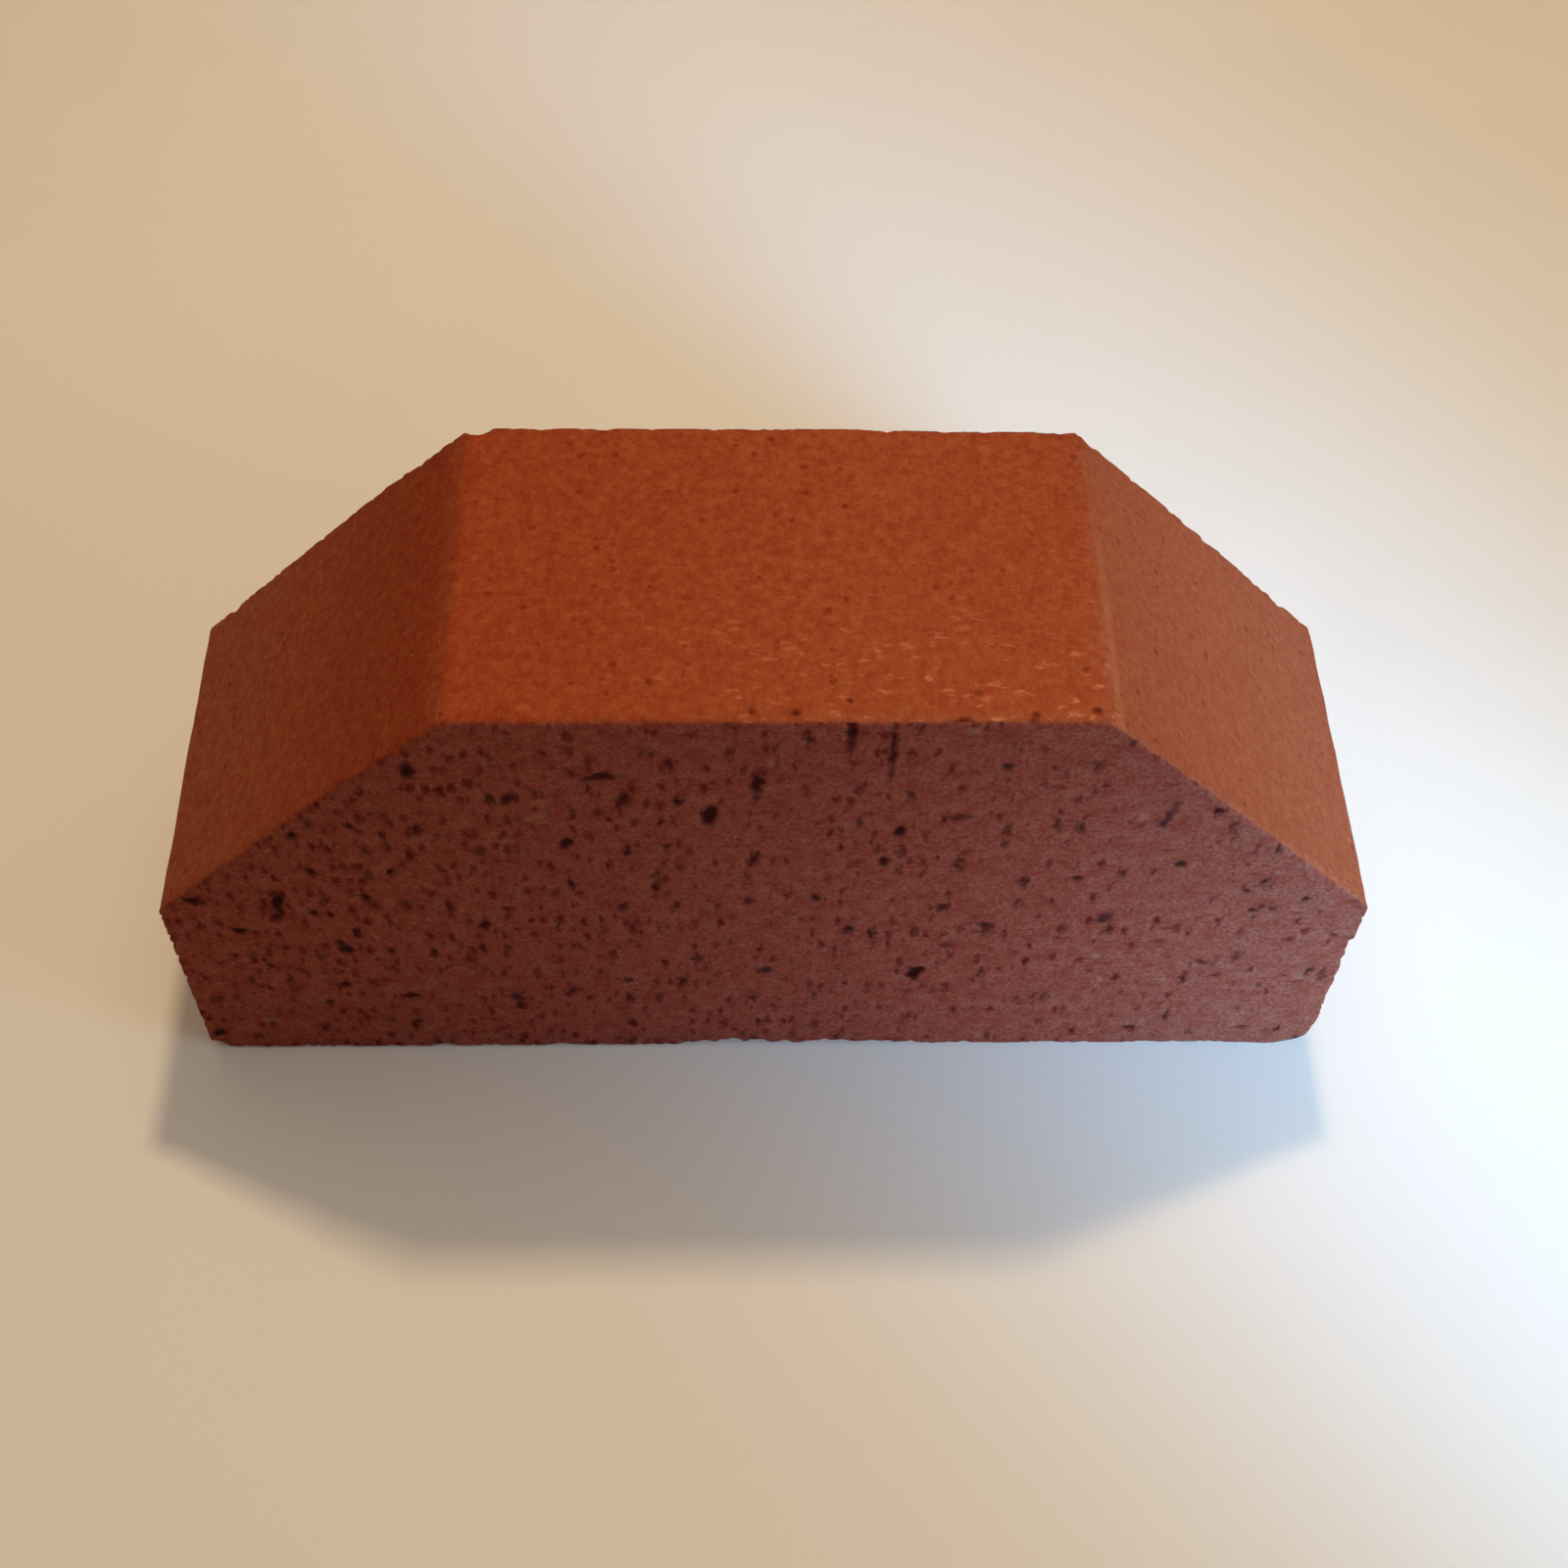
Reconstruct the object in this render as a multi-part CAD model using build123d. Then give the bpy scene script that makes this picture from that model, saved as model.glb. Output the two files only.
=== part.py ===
"""A double cant special brick, in millimetres.

One solid piece of fired clay. The column was extruded through a die that gave it its section,
with both corners of one stretcher face canted, and a wire cut it off at each course. The section
lies in XZ and the course height runs along Y, so the two cut faces look along -Y and +Y. The
brick stands on its plain stretcher face with the canted face up. The origin is the middle of the
face that it stands on, and -Y is the cut face with the broken arris.
"""

from build123d import *

import os

# The work sizes of the brick.
brick_length = 215.0
bed_width = 105.0
course_height = 65.0

# A cant starts at the quoin, on top of each plain header. Its line would meet the top a run in
# from the header, but it eases off below that, and a crisp crease stands a little further in.
header_height = 50.7
cant_run = 53.7
easing_length = 20.5
left_crease_inset = 1.9
right_crease_inset = 0.4

# Corner radii of the section.
left_foot_radius = 3.5
right_foot_radius = 9.0
quoin_radius = 2.5
crease_radius = 4.3
easing_radius = 120.0

# The soft arris between the section's skin and each cut face.
front_arris_radius = 1.3
back_arris_radius = 1.0

# A break along an arris: distance from the arris's start, bite into its first face, and bite
# into its second face. A break starts and ends a little outside the clay.
header_break = [
    (5.9, -0.3, -0.3),
    (7.7, 0.6, 1.4),
    (13.7, 0.7, 1.5),
    (14.3, 2.0, 4.2),
    (20.7, 1.3, 2.9),
    (22.2, 1.7, 3.7),
    (26.7, 1.9, 4.1),
    (32.2, 2.2, 4.6),
    (36.7, 2.0, 4.0),
    (42.2, 1.2, 2.4),
    (45.7, -0.3, -0.3),
]
foot_break = [
    (84.0, -0.3, -0.3),
    (93.0, 1.7, 1.5),
    (99.0, 2.6, 2.4),
    (103.0, 2.9, 2.6),
    (106.0, 2.0, 1.9),
    (120.0, 2.2, 1.8),
    (131.0, 1.8, 1.7),
    (146.0, -0.3, -0.3),
]
break_overrun = 3.0

# Conchoidal chips. Each is a scoop with a radius, and a bite measured from the sharp arris.
foot_chip_radius = 5.0
foot_chip_bite = 3.2
left_crease_chip_radius = 4.0
left_crease_chip_bite = 1.9
left_crease_chip_inset = 1.0
right_crease_chip_radius = 2.6
right_crease_chip_bite = 1.2
right_crease_chip_inset = 1.1
top_nick_radius = 2.4
top_nick_bite = 1.0
top_nick_inset = 9.5
quoin_nick_radius = 2.6
quoin_nick_bite = 1.3
quoin_nick_inset = 9.0
foot_nick_radius = 6.0
foot_nick_bite = 1.3
foot_nick_insets = (45.0, 68.0)

half_length = brick_length / 2
half_course = course_height / 2

left_foot = Vector(-half_length, 0, 0)
right_foot = Vector(half_length, 0, 0)
right_quoin = Vector(half_length, 0, header_height)
left_quoin = Vector(-half_length, 0, header_height)
right_meeting = Vector(half_length - cant_run, 0, bed_width)
left_meeting = Vector(cant_run - half_length, 0, bed_width)

left = Vector(-1, 0, 0)
right = Vector(1, 0, 0)
front = Vector(0, -1, 0)
back = Vector(0, 1, 0)
down = Vector(0, 0, -1)
up = Vector(0, 0, 1)
to_front = front * half_course
to_back = back * half_course


def along(start, end, distance):
    """The point that lies this far from start on the way to end."""
    return start + (end - start).normalized() * distance


right_easing = along(right_meeting, right_quoin, easing_length)
left_easing = along(left_meeting, left_quoin, easing_length)
right_crease = along(right_meeting, left_meeting, right_crease_inset)
left_crease = along(left_meeting, right_meeting, left_crease_inset)


def section():
    """The die's section as a face in XZ, with every corner rounded."""
    corners = [
        (left_foot, left_foot_radius),
        (right_foot, right_foot_radius),
        (right_quoin, quoin_radius),
        (right_easing, easing_radius),
        (right_crease, crease_radius),
        (left_crease, crease_radius),
        (left_easing, easing_radius),
        (left_quoin, quoin_radius),
    ]
    face = Face(Wire.make_polygon([corner for corner, radius in corners]))
    for corner, radius in corners:
        nearest = face.vertices().sort_by_distance(corner)[0]
        face = face.fillet_2d(radius, [nearest])
    return face


def cut_off_column():
    """One course of the column, with its arrises softened."""
    column = extrude(Pos(to_back) * section(), amount=course_height, dir=front)
    column = fillet(column.faces().sort_by(Axis.Y)[0].edges(), front_arris_radius)
    return fillet(column.faces().sort_by(Axis.Y)[-1].edges(), back_arris_radius)


def broken_arris(start, end, first_outward, second_outward, stations):
    """What broke off a square arris: a ruled loft of triangles along it.

    A bite into the first face is measured across that face, away from the second face.
    """
    rings = []
    for distance, first_bite, second_bite in stations:
        place = along(start, end, distance)
        slope = first_bite / second_bite
        tip = place + (first_outward + second_outward) * break_overrun
        on_first = (
            place
            + first_outward * break_overrun
            - second_outward * (first_bite + break_overrun * slope)
        )
        on_second = (
            place
            + second_outward * break_overrun
            - first_outward * (second_bite + break_overrun / slope)
        )
        rings.append(Wire.make_polygon([tip, on_first, on_second]))
    return Solid.make_loft(rings, ruled=True)


def scoop(place, outward, radius, bite):
    """A round chip that bites this deep into the clay at place, from outside."""
    centre = place + outward.normalized() * (radius - bite)
    return Pos(centre) * Sphere(radius)


def breaks():
    """The arrises that broke along their length."""
    return [
        broken_arris(right_quoin + to_front, right_foot + to_front, front, right, header_break),
        broken_arris(left_foot + to_front, right_foot + to_front, front, down, foot_break),
    ]


def chips():
    """The scooped chips and nicks on the arrises."""
    bites = [
        scoop(
            left_foot + to_front,
            left + down + front,
            foot_chip_radius,
            foot_chip_bite,
        ),
        scoop(
            along(left_crease, right_crease, left_crease_chip_inset) + to_back,
            up + back,
            left_crease_chip_radius,
            left_crease_chip_bite,
        ),
        scoop(
            along(right_crease, left_crease, right_crease_chip_inset) + to_back,
            up + back,
            right_crease_chip_radius,
            right_crease_chip_bite,
        ),
        scoop(
            along(right_crease, left_crease, top_nick_inset) + to_back,
            up + back,
            top_nick_radius,
            top_nick_bite,
        ),
        scoop(
            along(left_quoin, left_easing, quoin_nick_inset) + to_back,
            (left + up).normalized() + back,
            quoin_nick_radius,
            quoin_nick_bite,
        ),
    ]
    for inset in foot_nick_insets:
        bites.append(
            scoop(
                along(left_foot, right_foot, inset) + to_front,
                down + front,
                foot_nick_radius,
                foot_nick_bite,
            )
        )
    return bites


brick = cut_off_column()
for cutter in breaks() + chips():
    brick = brick - cutter

os.makedirs("parts", exist_ok=True)
export_step(brick, "parts/cant_brick.step")
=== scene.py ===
"""A double cant clay brick, lying on its plain stretcher face on a pale floor.

The brick is one closed mesh. Its section is an outline with rounded corners, carried through the
course height, with a softened arris round each cut face. Breaks, chips, wear and pits are carved
inwards from that form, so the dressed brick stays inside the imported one. Lengths are in
millimetres until a mesh, lamp or camera is made, and then in metres.
"""

import logging
import math
from dataclasses import dataclass, field
from enum import Enum

import bpy
import numpy as np
from mathutils import Matrix, Vector


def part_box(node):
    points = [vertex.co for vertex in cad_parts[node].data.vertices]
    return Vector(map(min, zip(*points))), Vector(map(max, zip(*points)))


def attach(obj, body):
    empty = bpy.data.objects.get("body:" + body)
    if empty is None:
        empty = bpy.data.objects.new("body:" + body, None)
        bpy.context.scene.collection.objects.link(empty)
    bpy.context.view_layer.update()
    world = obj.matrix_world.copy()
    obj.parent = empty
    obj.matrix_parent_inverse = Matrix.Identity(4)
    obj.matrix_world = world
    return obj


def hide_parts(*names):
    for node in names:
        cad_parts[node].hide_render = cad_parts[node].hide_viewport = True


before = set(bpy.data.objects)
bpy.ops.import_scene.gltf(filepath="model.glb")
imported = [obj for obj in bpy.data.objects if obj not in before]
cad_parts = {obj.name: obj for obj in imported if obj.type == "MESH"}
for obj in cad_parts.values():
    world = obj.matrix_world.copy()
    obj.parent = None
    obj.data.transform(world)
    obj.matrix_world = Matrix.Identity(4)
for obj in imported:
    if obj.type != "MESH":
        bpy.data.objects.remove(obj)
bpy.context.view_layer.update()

Socket = bpy.types.NodeSocket
Triple = tuple[float, float, float]
Colour = tuple[float, float, float, float]

LOG = logging.getLogger("brick")
NODE = "cant_brick"
BODY = "root"
METRES = 0.001


def linear(red: int, green: int, blue: int) -> Colour:
    """Turn a colour as seen on a screen into the linear values that a shader takes.

    Each channel c, as a share of 255, becomes ((c + 0.055) / 1.055) to the power 2.4.

    Args:
        red: The red channel, 0 to 255.
        green: The green channel, 0 to 255.
        blue: The blue channel, 0 to 255.

    Returns:
        Linear red, green and blue, and an alpha of 1.
    """
    shares = [channel / 255 for channel in (red, green, blue)]
    return (*[((share + 0.055) / 1.055) ** 2.4 for share in shares], 1.0)


def smooth_step(low: float, high: float, value: np.ndarray) -> np.ndarray:
    """Rise smoothly from 0 at low to 1 at high, as 3 t squared less 2 t cubed.

    Args:
        low: Where the rise starts.
        high: Where the rise ends.
        value: The values to look up.

    Returns:
        One share per value.
    """
    share = np.clip((value - low) / (high - low), 0, 1)
    return share * share * (3 - 2 * share)


@dataclass(frozen=True)
class Ripple:
    """A smooth random field: the sum of plane waves with seeded directions and phases.

    Each wave's length is drawn within a range, as a share of the named one.
    """

    wavelength: float
    seed: int
    swing: float = 1.0
    waves: int = 20
    stretch: Triple = (1.0, 1.0, 1.0)
    length_range: tuple[float, float] = (0.6, 1.6)

    def at(self, points: np.ndarray) -> np.ndarray:
        """Read the field.

        The value is the swing times the sum of cos(k . p + phase) over the waves, over the
        root of half their number, so it varies about 0 with a spread of one swing. Each k has
        a length of 2 pi over the wave's length.

        Args:
            points: Places in millimetres, one row each.

        Returns:
            One value per place.
        """
        random = np.random.default_rng(self.seed)
        direction = random.normal(size=(self.waves, 3))
        direction /= np.linalg.norm(direction, axis=1, keepdims=True)
        length = self.wavelength * random.uniform(*self.length_range, size=(self.waves, 1))
        wave = direction * 2 * np.pi / length / np.array(self.stretch)
        phase = random.uniform(0, 2 * np.pi, size=self.waves)
        return np.cos(points @ wave.T + phase).sum(axis=1) / math.sqrt(self.waves / 2) * self.swing


@dataclass(frozen=True)
class Section:
    """The brick's section in XZ: a convex outline with an arc at each corner.

    The corners run round from the left foot by the right foot and over the top. A place on
    the outline is one number: the arc of corner k runs from 2k to 2k + 1, and the straight
    side after it from 2k + 1 to 2k + 2.
    """

    corners: np.ndarray
    radii: np.ndarray

    def side_angles(self) -> np.ndarray:
        """The angle of the outward normal of the side that leaves each corner, in radians."""
        way = np.roll(self.corners, -1, axis=0) - self.corners
        return np.unwrap(np.arctan2(-way[:, 0], way[:, 1]))

    def at(self, places: np.ndarray) -> tuple[np.ndarray, np.ndarray]:
        """Points of the outline and their outward normals.

        On an arc the normal turns evenly from one side's to the next one's, and the point is
        the arc's middle plus the radius along the normal. Between arcs the point runs
        straight from the end of one arc to the start of the next.

        Args:
            places: Places on the outline, as the class says.

        Returns:
            The points and the normals, one row of X and Z each.
        """
        leaving = self.side_angles()
        arriving = np.roll(leaving, 1)
        turn = (leaving - arriving) % (2 * np.pi)
        middle_angle = arriving + turn / 2
        toward_middle = -np.stack([np.cos(middle_angle), np.sin(middle_angle)], axis=1)
        centre = self.corners + toward_middle * (self.radii / np.cos(turn / 2))[:, None]

        count = len(self.corners)
        step = np.floor(places).astype(int) % (2 * count)
        share = places - np.floor(places)
        corner = step // 2
        after = (corner + 1) % count
        on_arc = step % 2 == 0
        angle = arriving[corner] + turn[corner] * np.where(on_arc, share, 1)
        normal = np.stack([np.cos(angle), np.sin(angle)], axis=1)
        end = centre[corner] + self.radii[corner][:, None] * normal
        start = centre[after] + self.radii[after][:, None] * normal
        along = np.where(on_arc, 0, share)[:, None]
        return end * (1 - along) + start * along, normal


@dataclass(frozen=True)
class Viewpoint:
    """Where the photograph was taken from, in millimetres, and its lens."""

    eye: Triple = (-7.77, -234.15, 369.66)
    aim: Triple = (5.01, 31.04, 0.0)
    roll: float = -2.13
    lens: float = 48.75
    film: float = 36.0
    picture: int = 1600

    def axes(self) -> np.ndarray:
        """The camera's directions.

        Returns:
            Right, down and forward, one row each.
        """
        forward = np.array(self.aim) - np.array(self.eye)
        forward /= np.linalg.norm(forward)
        level = np.cross(forward, (0, 0, 1))
        level /= np.linalg.norm(level)
        plumb = np.cross(forward, level)
        turn = math.radians(self.roll)
        right = level * math.cos(turn) + plumb * math.sin(turn)
        return np.array([right, np.cross(forward, right), forward])

    def onto(self, pixels: np.ndarray, axis: int, level: float) -> np.ndarray:
        """Carry picture positions onto a plane that stands square to one axis.

        The ray through a pixel leaves the eye along forward, plus right and down times the
        pixel's distance from the picture's middle over the focal length. It is followed until
        it meets the plane.

        Args:
            pixels: Pixels from the picture's left edge and from its top one, one row each.
            axis: The axis, 1 for Y or 2 for Z.
            level: Where the plane cuts it.

        Returns:
            The places, one row each.
        """
        focal = self.lens / self.film * self.picture
        shares = (pixels - self.picture / 2) / focal
        ray = np.column_stack([shares, np.ones(len(shares))]) @ self.axes()
        reach = (level - self.eye[axis]) / ray[:, axis]
        return np.array(self.eye) + ray * reach[:, None]

    def make(self) -> bpy.types.Object:
        """Make the scene's camera.

        Returns:
            The camera's object.
        """
        right, down, forward = self.axes()
        data = bpy.data.cameras.new("viewpoint")
        data.lens = self.lens
        data.sensor_width = self.film
        data.sensor_fit = "HORIZONTAL"
        data.clip_start = 0.01
        camera = bpy.data.objects.new("viewpoint", data)
        turn = Matrix((right, -down, -forward)).transposed().to_4x4()
        camera.matrix_world = Matrix.Translation(np.array(self.eye) * METRES) @ turn
        bpy.context.scene.collection.objects.link(camera)
        bpy.context.scene.camera = camera
        return camera


class Tint(Enum):
    """What a spot is: iron, slate and grit on the front cut face, or on the top a pit too small for the mesh,
    darkened by painted shade over the broken clay's own colour.
    """

    IRON = "iron"
    SLATE = "slate"
    GRIT = "grit"
    POCK = "pock"


@dataclass(frozen=True)
class Spot:
    """A spot on the brick: its pixel in the picture, and its size as the camera sees it.

    The pixel is counted across and down. The size is long and wide in millimetres, and the
    turn is the long way's angle in degrees.
    """

    pixel: tuple[int, int]
    size: tuple[float, float]
    turn: float = 0.0
    tint: Tint = Tint.IRON


SPOTS = (
    Spot(pixel=(414, 787), size=(3.0, 2.2), turn=40),
    Spot(pixel=(283, 922), size=(4.6, 2.0), turn=80),
    Spot(pixel=(224, 1054), size=(2.6, 1.5), turn=10),
    Spot(pixel=(281, 937), size=(1.6, 1.3)),
    Spot(pixel=(349, 965), size=(2.4, 1.4), turn=-45),
    Spot(pixel=(355, 968), size=(2.0, 1.5), tint=Tint.SLATE),
    Spot(pixel=(355, 843), size=(1.8, 1.4)),
    Spot(pixel=(296, 853), size=(1.7, 1.3)),
    Spot(pixel=(245, 950), size=(2.8, 1.1), turn=-10),
    Spot(pixel=(196, 920), size=(3.2, 1.4), turn=5),
    Spot(pixel=(317, 891), size=(2.0, 1.2), turn=-50),
    Spot(pixel=(373, 917), size=(1.8, 1.5)),
    Spot(pixel=(336, 933), size=(1.5, 0.9), turn=90),
    Spot(pixel=(320, 932), size=(1.2, 1.0)),
    Spot(pixel=(274, 986), size=(1.5, 1.1)),
    Spot(pixel=(349, 1005), size=(2.0, 1.3)),
    Spot(pixel=(301, 1010), size=(1.3, 1.0), tint=Tint.SLATE),
    Spot(pixel=(422, 1017), size=(2.0, 1.4)),
    Spot(pixel=(528, 1017), size=(2.4, 1.8), tint=Tint.SLATE),
    Spot(pixel=(399, 891), size=(1.6, 1.3)),
    Spot(pixel=(515, 816), size=(2.2, 1.5), turn=20),
    Spot(pixel=(577, 862), size=(1.9, 1.5)),
    Spot(pixel=(613, 794), size=(5.4, 1.0), turn=8),
    Spot(pixel=(635, 815), size=(1.8, 1.3)),
    Spot(pixel=(724, 833), size=(3.6, 2.5), turn=75),
    Spot(pixel=(771, 802), size=(5.0, 2.0), turn=84),
    Spot(pixel=(670, 903), size=(4.2, 1.0), turn=85),
    Spot(pixel=(495, 945), size=(1.9, 1.4)),
    Spot(pixel=(482, 970), size=(1.6, 1.2)),
    Spot(pixel=(517, 928), size=(1.6, 1.1)),
    Spot(pixel=(635, 926), size=(1.8, 1.3)),
    Spot(pixel=(585, 1011), size=(2.2, 1.3), turn=10),
    Spot(pixel=(782, 990), size=(2.2, 1.6), tint=Tint.SLATE),
    Spot(pixel=(869, 749), size=(5.4, 1.7), turn=86),
    Spot(pixel=(912, 764), size=(8.0, 1.0), turn=90),
    Spot(pixel=(918, 849), size=(2.0, 1.5)),
    Spot(pixel=(902, 880), size=(1.9, 1.4)),
    Spot(pixel=(978, 881), size=(1.8, 1.3)),
    Spot(pixel=(982, 835), size=(2.4, 0.9)),
    Spot(pixel=(1027, 784), size=(2.2, 0.8)),
    Spot(pixel=(831, 916), size=(1.7, 1.3)),
    Spot(pixel=(864, 950), size=(1.9, 1.3)),
    Spot(pixel=(960, 926), size=(1.9, 1.2)),
    Spot(pixel=(966, 965), size=(1.7, 1.2)),
    Spot(pixel=(1005, 945), size=(3.4, 1.2), turn=-35),
    Spot(pixel=(933, 992), size=(3.2, 2.2), turn=10),
    Spot(pixel=(1098, 897), size=(1.8, 1.3)),
    Spot(pixel=(1127, 937), size=(2.6, 1.7), turn=20, tint=Tint.SLATE),
    Spot(pixel=(1192, 834), size=(4.2, 1.3), turn=70, tint=Tint.SLATE),
    Spot(pixel=(1246, 828), size=(1.9, 1.4)),
    Spot(pixel=(1204, 882), size=(1.8, 1.3)),
    Spot(pixel=(1330, 920), size=(2.8, 1.5), turn=35),
    Spot(pixel=(1271, 910), size=(2.6, 1.1), turn=-8),
    Spot(pixel=(1277, 929), size=(3.4, 1.2), turn=14),
    Spot(pixel=(1300, 927), size=(2.4, 0.7)),
    Spot(pixel=(1347, 929), size=(1.3, 1.1)),
    Spot(pixel=(1361, 954), size=(2.2, 1.1), turn=-25),
    Spot(pixel=(1389, 926), size=(2.6, 0.9), turn=10),
    Spot(pixel=(1335, 991), size=(2.8, 1.7), turn=65),
    Spot(pixel=(1309, 996), size=(2.8, 0.9), turn=6),
    Spot(pixel=(1285, 1004), size=(1.4, 1.0)),
    Spot(pixel=(1242, 995), size=(1.8, 1.2)),
    Spot(pixel=(1321, 1046), size=(1.0, 0.8)),
    Spot(pixel=(1289, 1051), size=(1.7, 1.2)),
    Spot(pixel=(1262, 1048), size=(3.4, 0.9), turn=4),
    Spot(pixel=(1190, 1036), size=(2.6, 1.0), turn=86),
    Spot(pixel=(1150, 1048), size=(1.7, 1.1)),
    Spot(pixel=(1225, 982), size=(1.7, 1.2)),
    Spot(pixel=(929, 760), size=(1.5, 0.9), tint=Tint.GRIT),
    Spot(pixel=(993, 746), size=(1.6, 1.0), tint=Tint.GRIT),
    Spot(pixel=(1090, 810), size=(1.7, 1.0), tint=Tint.GRIT),
    Spot(pixel=(1167, 833), size=(1.5, 1.0), tint=Tint.GRIT),
    Spot(pixel=(1121, 976), size=(1.5, 1.0), tint=Tint.GRIT),
    Spot(pixel=(278, 1040), size=(1.7, 1.0), tint=Tint.GRIT),
    Spot(pixel=(542, 836), size=(3.0, 0.6), turn=12, tint=Tint.GRIT),
    # Pits on the top behind the front arris; their dark is painted shade over the broken clay's own colour.
    Spot(pixel=(766, 726), size=(1.3, 1.0), tint=Tint.POCK),
    Spot(pixel=(811, 727), size=(1.7, 1.1), tint=Tint.POCK),
    Spot(pixel=(867, 714), size=(1.1, 0.9), tint=Tint.POCK),
    Spot(pixel=(985, 736), size=(2.8, 1.4), turn=-6, tint=Tint.POCK),
    Spot(pixel=(1058, 731), size=(1.5, 1.3), tint=Tint.POCK),
    Spot(pixel=(1121, 724), size=(1.7, 1.3), tint=Tint.POCK),
)


@dataclass(frozen=True)
class Station:
    """One place along a broken arris, and how far the break bites into each face there."""

    distance: float
    front_bite: float
    side_bite: float


@dataclass(frozen=True)
class Break:
    """A break along an arris of the front cut face. Bites under the least one carve nothing."""

    stations: tuple[Station, ...]
    seed: int
    roughness: float = 0.22
    ripple_length: float = 3.4
    least_bite: float = 0.05

    def carve(self, front: np.ndarray, side: np.ndarray, along: np.ndarray, points: np.ndarray) -> None:
        """Push points out of what broke off, in place.

        With bites A into the front face and B into the side, a point is in the waste where
        side / A + front / B is under 1. It moves at right angles to the slanting plane where
        that sum is 1. The bites follow the stations and vary with a fine ripple.

        Args:
            front: Depth of each point behind the front face. It is changed.
            side: Depth of each point under the side face. It is changed.
            along: Distance of each point along the arris.
            points: The points, which the ripple reads.
        """
        where = [station.distance for station in self.stations]
        rough = 1 + Ripple(self.ripple_length, self.seed, swing=self.roughness).at(points)
        bite_a = np.interp(along, where, [s.front_bite for s in self.stations], 0, 0) * rough
        bite_b = np.interp(along, where, [s.side_bite for s in self.stations], 0, 0) * rough
        live = (bite_a > self.least_bite) & (bite_b > self.least_bite)
        bite_a = np.where(live, bite_a, 1)
        bite_b = np.where(live, bite_b, 1)
        short = np.where(live, np.clip(1 - side / bite_a - front / bite_b, 0, None), 0)
        steep = 1 / bite_a**2 + 1 / bite_b**2
        side += short / bite_a / steep
        front += short / bite_b / steep


@dataclass(frozen=True)
class Scoop:
    """A round chip: a sphere, with its middle outside the clay, that bites into it."""

    place: Triple
    outward: Triple
    radius: float
    bite: float

    def carve(self, points: np.ndarray) -> None:
        """Push the points inside the sphere out onto it, away from its middle, in place.

        Args:
            points: The points. They are changed.
        """
        outward = np.array(self.outward)
        centre = np.array(self.place) + outward / np.linalg.norm(outward) * (self.radius - self.bite)
        away = points - centre
        distance = np.linalg.norm(away, axis=1)
        inside = distance < self.radius
        points[inside] = centre + away[inside] * (self.radius / distance[inside])[:, None]


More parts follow.
